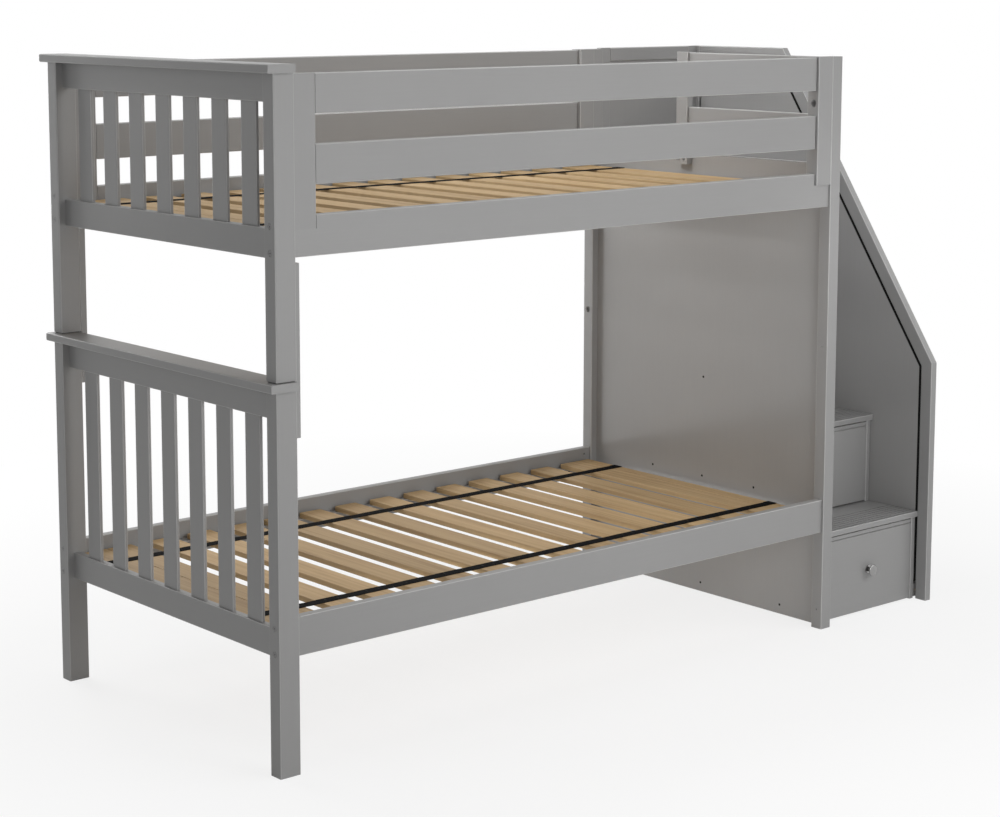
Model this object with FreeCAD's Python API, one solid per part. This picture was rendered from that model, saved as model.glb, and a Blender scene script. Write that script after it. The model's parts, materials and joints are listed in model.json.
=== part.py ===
import FreeCAD
import Part
import math
import os

# Twin bunk bed with a drawer staircase at its right end, one solid per physical piece, in millimetres.
# Sizes below are laid out on a bench frame: x along the bed from the outer face of the left posts,
# y from the front faces of the posts to the rear, z up from the floor. Each piece is moved at the end,
# so that the origin lies on the floor under the middle of the whole bed.

# Bed frame
bed_width = 1080.0
rail_length = 1970.0
post_length = 62.0
post_depth = 44.0
lower_post_height = 981.0
upper_post_height = 755.5
cap_thickness = 22.0
cap_overhang = 20.0
cap_end_overhang = 8.0
edge_round = 3.0
cap_round = 4.0
foot_seam_height = 2.5
foot_seam_depth = 4.0

# End panels
end_rail_recess = 22.0
end_rail_thickness = 22.0
end_rail_height = 75.0
upper_top_rail_height = 71.5
lower_end_rail_z = 299.0
upper_end_rail_lift = 302.0
end_slat_count = 7
end_slat_width = 66.0
end_slat_thickness = 10.0
end_slat_margin = 70.0
end_slat_tenon = 8.0
mortise_gap = 0.2

# Tie boards inside the left posts
tie_thickness = 20.0
tie_width = 32.0
tie_below_cap = 122.5
tie_above_cap = 291.0
tie_screw_inset = 35.0

# Side rails and slat decks
rail_thickness = 25.0
rail_height = 102.0
rail_setback = 8.0
lower_rail_z = 304.5
upper_rail_lift = 305.5
ledger_height = 22.0
ledger_width = 30.0
ledger_end_gap = 2.0
ledger_screw_inset = 120.0
ledger_screw_count = 5
deck_rise = 63.5
slat_width = 80.0
last_slat_width = 48.0
slat_thickness = 16.0
slat_round = 2.5
regular_slat_count = 14
slat_pair_gap = 2.0
slat_end_gap = 13.0
deck_start_gap = 3.0
deck_end_gap = 40.0
strap_width = 35.0
strap_thickness = 1.2
strap_inset = 147.5
strap_end_inset = 3.0

# Guards of the upper bunk
guard_board_height = 99.0
guard_top_drop = 1.5
guard_stile_width = 69.5
guard_end_gap = 2.5
notch_depth = 34.0
notch_corner_gap = 1.0
end_post_width = 48.0
end_post_lap = 33.0
entry_width = 387.0
end_board_thickness = 22.0
end_board_setback = 8.0

# Stair posts and the panel between them
stair_post_length = 43.0
stair_post_depth = 41.0
stair_post_drop = 0.5
panel_recess = 26.0
panel_thickness = 12.0
panel_floor_gap = 3.0
panel_top_lift = 22.5
panel_groove_depth = 8.0
foot_screw_spread = 345.0
runner_screw_spread = 226.0
row_screw_lift = 100.0
lone_screw_lift = 137.0
groove_gap = 0.3

# Stairs
stair_clear_width = 460.0
step_count = 4
first_nose_y = 36.0
landing_depth = 465.0
landing_drop = 216.0
tread_thickness = 18.0
tread_nose_round = 2.5
tread_side_gap = 1.0
nose_overhang = 9.0
tread_groove_count = 7
tread_groove_pitch = 17.5
tread_groove_width = 4.0
tread_groove_depth = 2.0
tread_groove_start = 8.0
step_stile_width = 18.0
step_stile_depth = 18.0
cleat_height = 20.0
batten_height = 40.0
foot_batten_z = 12.0

# Outer wall of the stairs
wall_thickness = 26.0
wall_member_width = 42.0
wall_lead = 3.5
wall_corner_z = 776.5
wall_top_lift = 3.0
wall_floor_gap = 4.0
wall_reveal = 8.5
wall_panel_setback = 1.0
wall_panel_thickness = 17.0
wall_tongue_start = 14.0
wall_tongue_thickness = 6.0
wall_tongue_depth = 8.0

# Rear wall of the stairs
rear_member_width = 44.0
rear_frame_thickness = 22.0
rear_frame_setback = 8.0
rear_panel_thickness = 6.0

# Drawers
drawer_front_thickness = 18.0
drawer_front_gap = 5.0
drawer_side_reveal = 2.0
drawer_line_drop = 11.0
drawer_line_width = 3.0
drawer_line_depth = 4.0
drawer_depth = 360.0
drawer_board = 12.0
drawer_box_lift = 20.0
drawer_box_height = 180.0
drawer_bottom_thickness = 6.0
drawer_bottom_lift = 10.0
drawer_bottom_groove = 5.0
drawer_housing = 6.0
drawer_back_housing = 4.0
runner_board_lift = 60.0
runner_board_height = 90.0
runner_lift = 95.0
runner_height = 20.0
runner_bite = 7.0
runner_play = 0.3
drawer_running_gap = 3.0
knob_diameter = 36.0
knob_base_diameter = 27.0
knob_neck_diameter = 14.0
knob_projection = 25.0
knob_base_height = 3.0
knob_flare_height = 3.0
knob_head_height = 10.0
knob_under_rise = 3.0
knob_rim_height = 5.0
knob_rim_inset = 2.0
knob_screw_diameter = 4.0
knob_screw_head_diameter = 9.0
knob_screw_head_thickness = 2.5
knob_screw_bite = 12.0

# Fasteners
bolt_diameter = 6.0
bolt_head_diameter = 14.0
bolt_head_thickness = 2.5
bolt_counterbore = 2.8
socket_width = 4.0
socket_depth = 5.0
bolt_low = 14.5
bolt_high = 80.0
bolt_past_nut = 8.0
nut_inset = 26.0
nut_diameter = 10.0
nut_length = 14.0
guard_bolt_counterbore = 15.0
guard_bore_diameter = 22.0
guard_bolt_bite = 30.0
dowel_diameter = 8.0
dowel_bite = 28.0
end_dowel_bite = 16.0
cap_dowel_bite = 14.0
screw_diameter = 4.0
screw_head_diameter = 8.0
screw_bite = 18.0
end_screw_sink = 8.0
end_screw_bore = 10.0
fit_gap = 0.1
bolt_gap = 0.5
head_gap = 1.0
spare_hole_diameter = 20.0
pilot_hole_diameter = 5.0
spare_hole_depth = 10.0
spare_hole_heights = (60.0, 880.0)
pin_shares = (0.25, 0.75)
rear_pin_shares = (0.09, 0.43, 0.91)
wall_pin_bite = 16.0
tread_screw_bite = 10.0
tread_screw_inset = 40.0

# Allowances of the modelling itself
cut_over = 1.0
near_zero = 0.01

# Places that follow from the sizes
stair_x = post_length + rail_length
stair_back_x = stair_x + stair_post_length
wall_x = stair_back_x + stair_clear_width
wall_outer_x = wall_x + wall_thickness
panel_x = stair_x + panel_recess
panel_back_x = panel_x + panel_thickness
wall_face_x = wall_x + wall_panel_setback
lower_cap_top = lower_post_height + cap_thickness
upper_post_top = lower_cap_top + upper_post_height
upper_end_rail_z = lower_cap_top + upper_end_rail_lift
upper_rail_z = lower_cap_top + upper_rail_lift
upper_rail_top = upper_rail_z + rail_height
stair_post_height = upper_post_top - stair_post_drop
wall_top_z = stair_post_height + wall_top_lift
panel_top_z = upper_rail_top + panel_top_lift
step_rise = (upper_rail_z + deck_rise - landing_drop) / step_count
step_run = (bed_width - first_nose_y - landing_depth) / (step_count - 1)
rail_inner_y = rail_setback + rail_thickness
rail_mid_y = rail_setback + rail_thickness / 2
end_rail_inner_x = end_rail_recess + end_rail_thickness
end_slat_x = end_rail_recess + (end_rail_thickness - end_slat_thickness) / 2
notch_z = upper_rail_top - notch_depth
guard_top = stair_post_height - guard_top_drop
guard_gap = (guard_top - upper_rail_top) / 2 - guard_board_height
guard_top_z = guard_top - guard_board_height
guard_lower_z = upper_rail_top + guard_gap
guard_bolt_z = guard_top_z - guard_gap / 2
end_post_front = bed_width - stair_post_depth - entry_width - end_post_width
end_post_bottom_z = panel_top_z - end_post_lap
end_slat_span = bed_width - 2 * (post_depth + end_slat_margin)
end_slat_pitch = (end_slat_span - end_slat_width) / (end_slat_count - 1)
guard_post_x = stair_x - post_length
guard_board_start = post_length + guard_stile_width
guard_board_end = guard_post_x - guard_end_gap
notch_corner = guard_end_gap - notch_corner_gap
rear_frame_y = bed_width - rear_frame_setback - rear_frame_thickness
step_left_x = stair_back_x + tread_side_gap
step_right_x = wall_x - tread_side_gap
opening_left_x = step_left_x + step_stile_width
opening_right_x = step_right_x - step_stile_width
cleat_rear_y = bed_width - max(stair_post_depth, wall_member_width) - tread_side_gap
middle_x = (wall_outer_x - cap_overhang) / 2
to_origin = FreeCAD.Vector(-middle_x, -bed_width / 2, 0)
X = FreeCAD.Vector(1, 0, 0)
Y = FreeCAD.Vector(0, 1, 0)
Z = FreeCAD.Vector(0, 0, 1)

nodes = {}


# Shape helpers
def block(x, y, z):
    corner = FreeCAD.Vector(x[0], y[0], z[0])
    return Part.makeBox(x[1] - x[0], y[1] - y[0], z[1] - z[0], corner)


def loosened(x, y, z):
    """A cutter for a board of this size, with a hair of room all round."""
    return block((x[0] - fit_gap, x[1] + fit_gap), (y[0] - fit_gap, y[1] + fit_gap),
                 (z[0] - fit_gap, z[1] + fit_gap))


def beam(x, y, z, along, radius=edge_round):
    """A board with its four long edges rounded."""
    box = block(x, y, z)
    long_edges = [edge for edge in box.Edges if edge.tangentAt(0).cross(along).Length < near_zero]
    return box.makeFillet(radius, long_edges)


def rod(start, along, length, diameter):
    return Part.makeCylinder(diameter / 2, length, start, along)


def polygon(points, x0):
    """A flat face through (y, z) points at x0."""
    corners = [FreeCAD.Vector(x0, y, z) for y, z in points]
    return Part.Face(Part.makePolygon(corners + corners[:1]))


def prism(points, x0, thickness, grow=0):
    """The polygon moved outwards by grow with sharp corners, then thickened along x."""
    face = polygon(points, x0)
    if grow:
        face = face.makeOffset2D(grow, 2)
    return face.extrude(X * thickness)


def hexagon(start, along, width, depth):
    """A six-sided pocket across the flats, from start along x."""
    radius = width / math.sqrt(3)
    turns = [index * math.pi / 3 for index in range(6)]
    corners = [(start.y + radius * math.cos(turn), start.z + radius * math.sin(turn)) for turn in turns]
    return polygon(corners, start.x).extrude(along * depth)


def rear(shape):
    """The rear twin of a front piece."""
    return shape.mirror(FreeCAD.Vector(0, bed_width / 2, 0), Y)


def drilled(shape, cutters):
    """The shape less every cutter that reaches it."""
    near = [cutter for cutter in cutters if cutter.BoundBox.intersect(shape.BoundBox)]
    if not near:
        return shape
    return shape.cut(near).Solids[0]


def add(name, *shapes):
    nodes.setdefault(name, []).extend(shapes)


# Bolts, barrel nuts and their holes, at each end of each front rail
bolts = []
nuts = []
holes = []


def bolt(seat, along, length, counterbore, bore_diameter):
    """A connector bolt whose head sits on seat, with its key socket and its stepped hole."""
    top = seat - along * bolt_head_thickness
    head = rod(top, along, bolt_head_thickness, bolt_head_diameter)
    shank = rod(seat, along, length, bolt_diameter)
    solid = head.fuse(shank).removeSplitter()
    bolts.append(solid.cut(hexagon(top, along, socket_width, socket_depth)))
    holes.append(rod(seat - along * counterbore, along, counterbore, bore_diameter))
    holes.append(rod(seat, along, length + bolt_past_nut, bolt_diameter + 2 * bolt_gap))


def barrel_nut(x, z):
    middle = FreeCAD.Vector(x, rail_mid_y - nut_length / 2, z)
    body = rod(middle, Y, nut_length, nut_diameter)
    thread = rod(FreeCAD.Vector(x - nut_diameter, rail_mid_y, z), X, 2 * nut_diameter,
                 bolt_diameter + 2 * fit_gap)
    nuts.append(body.cut(thread))
    holes.append(rod(middle, Y, post_depth, nut_diameter + 2 * fit_gap))


head_bore = bolt_head_diameter + 2 * head_gap
left_bolt_length = post_length - bolt_counterbore + nut_inset + bolt_past_nut
right_bolt_length = stair_post_length - bolt_counterbore + nut_inset + bolt_past_nut
for rail_z in (lower_rail_z, upper_rail_z):
    for height in (bolt_low, bolt_high):
        left_seat = FreeCAD.Vector(bolt_counterbore, rail_mid_y, rail_z + height)
        right_seat = FreeCAD.Vector(stair_back_x - bolt_counterbore, rail_mid_y, rail_z + height)
        bolt(left_seat, X, left_bolt_length, bolt_counterbore, head_bore)
        bolt(right_seat, -X, right_bolt_length, bolt_counterbore, head_bore)
        barrel_nut(post_length + nut_inset, rail_z + height)
        barrel_nut(stair_x - nut_inset, rail_z + height)
guard_seat = FreeCAD.Vector(guard_post_x + guard_bolt_counterbore, rail_mid_y, guard_bolt_z)
guard_bolt_length = post_length - guard_bolt_counterbore + guard_bolt_bite
bolt(guard_seat, X, guard_bolt_length, guard_bolt_counterbore, guard_bore_diameter)
add("connector_bolts", *bolts)
add("connector_bolts", *[rear(piece) for piece in bolts])
add("barrel_nuts", *nuts)
add("barrel_nuts", *[rear(piece) for piece in nuts])

# Dowels between butted pieces, with their holes
dowel_holes = []


def dowel(joint, along, bite_back=dowel_bite, bite_on=dowel_bite):
    """A round pin that crosses the joint between two pieces."""
    length = bite_back + bite_on
    pin = rod(joint - along * bite_back, along, length, dowel_diameter)
    hole = rod(joint - along * (bite_back + bolt_gap), along, length + 2 * bolt_gap,
               dowel_diameter + 2 * fit_gap)
    add("dowels", pin)
    dowel_holes.append(hole)


def paired_dowel(joint, along, bite_back=dowel_bite, bite_on=dowel_bite):
    """The same dowel in the front piece and in its rear twin."""
    dowel(joint, along, bite_back, bite_on)
    twin = FreeCAD.Vector(joint.x, bed_width - joint.y, joint.z)
    dowel(twin, FreeCAD.Vector(along.x, -along.y, along.z), bite_back, bite_on)


end_rail_mid_x = end_rail_recess + end_rail_thickness / 2
end_rail_spans = {
    "lower_end_top_rail": (lower_post_height - end_rail_height, lower_post_height),
    "lower_end_bottom_rail": (lower_end_rail_z, lower_end_rail_z + end_rail_height),
    "upper_end_top_rail": (upper_post_top - upper_top_rail_height, upper_post_top),
    "upper_end_bottom_rail": (upper_end_rail_z, upper_end_rail_z + end_rail_height),
}
for low, high in end_rail_spans.values():
    for share in pin_shares:
        joint = FreeCAD.Vector(end_rail_mid_x, post_depth, low + share * (high - low))
        paired_dowel(joint, Y, end_dowel_bite)
post_middle = FreeCAD.Vector(post_length / 2, post_depth / 2, 0)
paired_dowel(post_middle + Z * lower_post_height, Z, dowel_bite, cap_thickness + dowel_bite)
paired_dowel(post_middle + Z * upper_post_top, Z, dowel_bite, cap_dowel_bite)
guard_boards = (guard_lower_z, guard_top_z)
end_board_mid_x = stair_x + (end_board_setback + panel_recess) / 2
for board_z in guard_boards:
    for share in pin_shares:
        pin_z = board_z + share * guard_board_height
        left_joint = FreeCAD.Vector(guard_board_start, rail_mid_y, pin_z)
        right_joint = FreeCAD.Vector(guard_board_end, rail_mid_y, pin_z)
        paired_dowel(left_joint, X)
        paired_dowel(right_joint, X, dowel_bite, guard_end_gap + dowel_bite)
        dowel(FreeCAD.Vector(end_board_mid_x, stair_post_depth, pin_z), Y)
        dowel(FreeCAD.Vector(end_board_mid_x, end_post_front, pin_z), Y)

# Wood screws, with their holes
screw_holes = []


def wood_screw(face, along, thickness, bite=screw_bite):
    """A countersunk screw through a piece of some thickness, with its flat head flush in face."""
    screw_length = thickness + bite
    head_height = (screw_head_diameter - screw_diameter) / 2
    head = Part.makeCone(screw_head_diameter / 2, screw_diameter / 2, head_height, face, along)
    shank = rod(face + along * head_height, along, screw_length - head_height, screw_diameter)
    add("wood_screws", head.fuse(shank).removeSplitter())
    wide = Part.makeCone(screw_head_diameter / 2 + fit_gap, screw_diameter / 2 + fit_gap, head_height,
                         face, along)
    deep = rod(face + along * head_height, along, screw_length - head_height + bolt_gap,
               screw_diameter + 2 * fit_gap)
    screw_holes.append(wide)
    screw_holes.append(deep)


# Left end, lower and upper half
def seamed(post, low):
    """The post with a narrow seam cut round its foot."""
    seam_z = (low, low + foot_seam_height)
    ring = block((0, post_length), (0, post_depth), seam_z)
    core = block((foot_seam_depth, post_length - foot_seam_depth),
                 (foot_seam_depth, post_depth - foot_seam_depth), seam_z)
    return drilled(post, [ring.cut(core)])


def end_half(prefix, post_low, post_high):
    """Posts, rails, upright slats and cap of one half of the left end."""
    post = beam((0, post_length), (0, post_depth), (post_low, post_high), Z)
    if post_low > 0:
        post = seamed(post, post_low)
    front_post = drilled(drilled(post, holes), dowel_holes)
    add(prefix + "_post_front", drilled(front_post, screw_holes))
    add(prefix + "_post_rear", rear(drilled(front_post, screw_holes)))
    top_span = end_rail_spans[prefix + "_end_top_rail"]
    bottom_span = end_rail_spans[prefix + "_end_bottom_rail"]
    slat_low = bottom_span[1] - end_slat_tenon
    slat_high = top_span[0] + end_slat_tenon
    slats = []
    mortises = []
    for index in range(end_slat_count):
        middle_y = bed_width / 2 + (index - (end_slat_count - 1) / 2) * end_slat_pitch
        slat_x = (end_slat_x, end_slat_x + end_slat_thickness)
        slat_y = (middle_y - end_slat_width / 2, middle_y + end_slat_width / 2)
        slats.append(beam(slat_x, slat_y, (slat_low, slat_high), Z))
        mortises.append(block((slat_x[0] - mortise_gap, slat_x[1] + mortise_gap),
                              (slat_y[0] - mortise_gap, slat_y[1] + mortise_gap),
                              (slat_low - mortise_gap, slat_high + mortise_gap)))
    add(prefix + "_end_slats", *slats)
    for name, span in ((prefix + "_end_top_rail", top_span), (prefix + "_end_bottom_rail", bottom_span)):
        rail = beam((end_rail_recess, end_rail_inner_x), (post_depth, bed_width - post_depth), span, Y)
        add(name, drilled(drilled(rail, mortises), dowel_holes))
    cap = beam((-cap_overhang, post_length), (-cap_end_overhang, bed_width + cap_end_overhang),
               (post_high, post_high + cap_thickness), Y, cap_round)
    add(prefix + "_end_cap", drilled(cap, dowel_holes))


tie_y = (post_depth - tie_width, post_depth)
tie_z = (lower_post_height - tie_below_cap, lower_cap_top + tie_above_cap)
tie_x = (post_length, post_length + tie_thickness)
tie_screw_heights = (tie_z[0] + tie_screw_inset, lower_post_height - tie_screw_inset,
                     lower_cap_top + tie_screw_inset, tie_z[1] - tie_screw_inset)
for height in tie_screw_heights:
    for tie_middle_y in (sum(tie_y) / 2, bed_width - sum(tie_y) / 2):
        wood_screw(FreeCAD.Vector(tie_x[1], tie_middle_y, height), -X, tie_thickness)
end_half("lower", 0, lower_post_height)
end_half("upper", lower_cap_top, upper_post_top)
tie = drilled(beam(tie_x, tie_y, tie_z, Z), screw_holes)
add("tie_boards", tie, rear(tie))

# Side rails, ledgers and the two slat decks
deck_x = (end_rail_inner_x + deck_start_gap, panel_x - deck_end_gap)
slat_y = (rail_inner_y + slat_end_gap, bed_width - rail_inner_y - slat_end_gap)
first_regular_x = deck_x[0] + slat_width + slat_pair_gap
last_regular_x = deck_x[1] - last_slat_width - slat_pair_gap - slat_width
slat_pitch = (last_regular_x - first_regular_x) / (regular_slat_count - 1)
slat_starts = [deck_x[0]]
slat_starts += [first_regular_x + index * slat_pitch for index in range(regular_slat_count)]
slat_spans = [(start, start + slat_width) for start in slat_starts]
slat_spans.append((deck_x[1] - last_slat_width, deck_x[1]))


def slat_deck(prefix, rail_z):
    """Slats and straps that lie on one pair of ledgers."""
    top = rail_z + deck_rise
    for span in slat_spans:
        slat = beam(span, slat_y, (top - slat_thickness, top), Y, slat_round)
        add(prefix + "_slats", slat)
    strap_x = (deck_x[0] + strap_end_inset, deck_x[1] - strap_end_inset)
    for strap_middle in (slat_y[0] + strap_inset, slat_y[1] - strap_inset):
        strap_y = (strap_middle - strap_width / 2, strap_middle + strap_width / 2)
        add("slat_straps", block(strap_x, strap_y, (top, top + strap_thickness)))


def ledger(rail_z):
    high = rail_z + deck_rise - slat_thickness
    span = (post_length + ledger_end_gap, stair_x - ledger_end_gap)
    inner_y = rail_inner_y + ledger_width
    middle_z = high - ledger_height / 2
    strip = beam(span, (rail_inner_y, inner_y), (high - ledger_height, high), X)
    step = (span[1] - span[0] - 2 * ledger_screw_inset) / (ledger_screw_count - 1)
    for index in range(ledger_screw_count):
        head_x = span[0] + ledger_screw_inset + index * step
        wood_screw(FreeCAD.Vector(head_x, inner_y, middle_z), -Y, ledger_width)
        wood_screw(FreeCAD.Vector(head_x, bed_width - inner_y, middle_z), Y, ledger_width)
    front_ledger = drilled(strip, screw_holes)
    add("slat_ledgers", front_ledger, rear(front_ledger))


def side_rail(rail_z, notches):
    rail = beam((post_length, stair_x), (rail_setback, rail_inner_y), (rail_z, rail_z + rail_height), X)
    rail = drilled(rail, notches)
    return drilled(drilled(rail, holes), screw_holes)


def rounded_corner(notch, corner_x):
    """A notch of the upper rail with its lower corner at corner_x rounded."""
    corner = FreeCAD.Vector(corner_x, post_depth / 2, notch_z)
    edges = [edge for edge in notch.Edges if (edge.CenterOfMass - corner).Length < near_zero]
    return notch.makeFillet(notch_corner, edges)


notch_span_z = (notch_z, upper_rail_top + notch_depth)
left_notch = block((post_length - cut_over, guard_board_start), (0, post_depth), notch_span_z)
right_notch = block((guard_board_end, stair_x + cut_over), (0, post_depth), notch_span_z)
right_notch = rounded_corner(right_notch, guard_board_end)
for prefix, rail_z, notches in (("lower", lower_rail_z, []),
                                ("upper", upper_rail_z, [left_notch, right_notch])):
    slat_deck(prefix, rail_z)
    ledger(rail_z)
    front_rail = side_rail(rail_z, notches)
    add(prefix + "_rail_front", front_rail)
    add(prefix + "_rail_rear", rear(front_rail))

# Front and rear guards of the upper bunk
board_y = (rail_setback, rail_inner_y)
stile = beam((post_length, guard_board_start), board_y, (notch_z, guard_top), Z)
stile = drilled(drilled(stile, holes), dowel_holes)
guard_post = beam((guard_post_x, stair_x), (0, post_depth), (notch_z, stair_post_height), Z)
guard_post = drilled(drilled(guard_post, holes), dowel_holes)
boards = []
for board_z in guard_boards:
    board_span_z = (board_z, board_z + guard_board_height)
    board = beam((guard_board_start, guard_board_end), board_y, board_span_z, X)
    boards.append(drilled(board, dowel_holes))
for side, place in (("front", lambda shape: shape), ("rear", rear)):
    add(side + "_guard_boards", *[place(board) for board in boards])
    add(side + "_guard_stile", place(stile))
    add(side + "_guard_post", place(guard_post))

# End guard beside the way in from the stairs
end_post_y = (end_post_front, end_post_front + end_post_width)
end_screw_z = (end_post_bottom_z + panel_top_z) / 2
for share in pin_shares:
    mouth = FreeCAD.Vector(stair_x, end_post_y[0] + share * end_post_width, end_screw_z)
    wood_screw(mouth + X * end_screw_sink, X, panel_recess - end_screw_sink + panel_thickness)
    screw_holes.append(rod(mouth, X, end_screw_sink, end_screw_bore))
end_post = beam((stair_x, panel_x), end_post_y, (end_post_bottom_z, stair_post_height), Z)
add("end_guard_post", drilled(drilled(end_post, dowel_holes), screw_holes))
end_board_x = (stair_x + end_board_setback, stair_x + end_board_setback + end_board_thickness)
for board_z in guard_boards:
    board_span_z = (board_z, board_z + guard_board_height)
    board = beam(end_board_x, (stair_post_depth, end_post_front), board_span_z, Y)
    add("end_guard_boards", drilled(board, dowel_holes))

# Panel screws, which hold the runner boards and the foot batten on the stair side
panel_mid_y = bed_width / 2
foot_screw_z = foot_batten_z + batten_height / 2
row_screw_z = step_rise + row_screw_lift
lone_screw_z = 2 * step_rise + lone_screw_lift
for side in (-1, 0, 1):
    foot_head = FreeCAD.Vector(panel_x, panel_mid_y + side * foot_screw_spread, foot_screw_z)
    wood_screw(foot_head, X, panel_thickness)
    row_head = FreeCAD.Vector(panel_x, panel_mid_y + side * runner_screw_spread, row_screw_z)
    wood_screw(row_head, X, panel_thickness)
wood_screw(FreeCAD.Vector(panel_x, panel_mid_y, lone_screw_z), X, panel_thickness)

# Stair posts and the panel between them
panel_y = (stair_post_depth - panel_groove_depth, bed_width - stair_post_depth + panel_groove_depth)
panel_z = (panel_floor_gap, panel_top_z)
panel = block((panel_x, panel_back_x), panel_y, panel_z)
panel_slot = block((panel_x - groove_gap, panel_back_x + groove_gap),
                   (panel_y[0] - groove_gap, panel_y[1] + groove_gap),
                   (panel_z[0] - groove_gap, panel_z[1] + groove_gap))
add("bed_side_panel", drilled(panel, screw_holes))


def stair_post(spare_diameter):
    """A stair post with its bolt holes, its spare holes and the groove for the panel."""
    post = beam((stair_x, stair_back_x), (0, stair_post_depth), (0, stair_post_height), Z)
    mouths = [FreeCAD.Vector(stair_x, stair_post_depth / 2, height) for height in spare_hole_heights]
    spares = [rod(mouth, X, spare_hole_depth, spare_diameter) for mouth in mouths]
    return drilled(drilled(post, holes + spares), [panel_slot])


# Outer wall of the stairs, a mitred frame round an inset panel
pitch_slope = step_rise / step_run
slant_drop = wall_member_width / math.cos(math.atan(pitch_slope))
wall_front_y = -wall_lead
wall_inner_front_y = wall_front_y + wall_member_width
wall_inner_rear_y = bed_width - wall_member_width
wall_inner_top_z = wall_top_z - wall_member_width
wall_inner_low_z = wall_floor_gap + wall_member_width
front_corner = (wall_front_y, wall_corner_z)
front_inner_corner = (wall_inner_front_y, wall_corner_z + pitch_slope * wall_member_width - slant_drop)
top_corner = (wall_front_y + (wall_top_z - wall_corner_z) / pitch_slope, wall_top_z)
top_inner_y = wall_front_y + (wall_inner_top_z + slant_drop - wall_corner_z) / pitch_slope
top_inner_corner = (top_inner_y, wall_inner_top_z)
wall_opening = [(wall_inner_front_y, wall_inner_low_z), front_inner_corner, top_inner_corner,
                (wall_inner_rear_y, wall_inner_top_z), (wall_inner_rear_y, wall_inner_low_z)]
wall_outlines = {
    "wall_front_stile": [(wall_front_y, 0), front_corner, front_inner_corner, (wall_inner_front_y, 0)],
    "wall_slant_rail": [front_corner, top_corner, top_inner_corner, front_inner_corner],
    "wall_top_rail": [top_corner, (wall_inner_rear_y, wall_top_z), (wall_inner_rear_y, wall_inner_top_z),
                      top_inner_corner],
    "wall_rear_stile": [(wall_inner_rear_y, 0), (wall_inner_rear_y, wall_top_z), (bed_width, wall_top_z),
                        (bed_width, 0)],
    "wall_bottom_rail": [(wall_inner_front_y, wall_floor_gap), (wall_inner_front_y, wall_inner_low_z),
                         (wall_inner_rear_y, wall_inner_low_z), (wall_inner_rear_y, wall_floor_gap)],
}
tongue_x = wall_x + wall_tongue_start
wall_slot = prism(wall_opening, tongue_x - groove_gap, wall_tongue_thickness + 2 * groove_gap,
                  wall_tongue_depth + groove_gap)


def mitre_dowel(outer, inner):
    """A dowel square across the middle of the mitre between two frame members."""
    middle = FreeCAD.Vector(wall_mid_x, (outer[0] + inner[0]) / 2, (outer[1] + inner[1]) / 2)
    cut_line = FreeCAD.Vector(0, inner[0] - outer[0], inner[1] - outer[1])
    dowel(middle, cut_line.cross(X).normalize())


wall_mid_x = wall_x + wall_thickness / 2
wall_low_mid_z = wall_floor_gap + wall_member_width / 2
wall_top_mid_z = wall_top_z - wall_member_width / 2
mitre_dowel(front_corner, front_inner_corner)
mitre_dowel(top_corner, top_inner_corner)
for butt_y, butt_z in ((wall_inner_front_y, wall_low_mid_z), (wall_inner_rear_y, wall_low_mid_z),
                       (wall_inner_rear_y, wall_top_mid_z)):
    dowel(FreeCAD.Vector(wall_mid_x, butt_y, butt_z), Y)
rear_mid_y = rear_frame_y + rear_frame_thickness / 2
for share in rear_pin_shares:
    dowel(FreeCAD.Vector(stair_back_x, rear_mid_y, share * wall_top_z), X)
    dowel(FreeCAD.Vector(wall_x, rear_mid_y, share * wall_top_z), X, dowel_bite, wall_pin_bite)


def wall_member(points):
    """One frame member, with the edges along its length rounded."""
    member = prism(points, wall_x, wall_thickness)
    lead = max(member.Edges, key=lambda edge: edge.Length).tangentAt(0)
    long_edges = [edge for edge in member.Edges if edge.tangentAt(0).cross(lead).Length < near_zero]
    return member.makeFillet(edge_round, long_edges)


foot_reveal = block((wall_x, tongue_x), (wall_inner_front_y, wall_inner_front_y + wall_reveal),
                    (0, wall_inner_low_z))
for name, points in wall_outlines.items():
    member = drilled(drilled(wall_member(points), [wall_slot]), dowel_holes)
    if name == "wall_bottom_rail":
        member = drilled(member, [foot_reveal])
    add(name, member)
wall_field = prism(wall_opening, wall_face_x, wall_panel_thickness, -wall_reveal)
wall_tongue = prism(wall_opening, tongue_x, wall_tongue_thickness, wall_tongue_depth)
add("wall_panel", wall_field.fuse(wall_tongue).removeSplitter())

# Rear wall of the stairs, a frame round a thin panel
rear_y = (rear_frame_y, rear_frame_y + rear_frame_thickness)
rear_inner_x = (stair_back_x + rear_member_width, wall_x - rear_member_width)
rear_inner_z = (wall_floor_gap + rear_member_width, wall_top_z - rear_member_width)
rear_panel_span = (rear_mid_y - rear_panel_thickness / 2, rear_mid_y + rear_panel_thickness / 2)
rear_panel_x = (rear_inner_x[0] - panel_groove_depth, rear_inner_x[1] + panel_groove_depth)
rear_panel_z = (rear_inner_z[0] - panel_groove_depth, rear_inner_z[1] + panel_groove_depth)
rear_slot = block((rear_panel_x[0] - groove_gap, rear_panel_x[1] + groove_gap),
                  (rear_panel_span[0] - groove_gap, rear_panel_span[1] + groove_gap),
                  (rear_panel_z[0] - groove_gap, rear_panel_z[1] + groove_gap))
rear_members = [
    beam((stair_back_x, rear_inner_x[0]), rear_y, (wall_floor_gap, wall_top_z), Z),
    beam((rear_inner_x[1], wall_x), rear_y, (wall_floor_gap, wall_top_z), Z),
    beam(rear_inner_x, rear_y, (wall_floor_gap, rear_inner_z[0]), X),
    beam(rear_inner_x, rear_y, (rear_inner_z[1], wall_top_z), X),
]
for joint_x in rear_inner_x:
    for joint_z in (wall_floor_gap + rear_member_width / 2, wall_top_z - rear_member_width / 2):
        dowel(FreeCAD.Vector(joint_x, rear_mid_y, joint_z), X)
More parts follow.
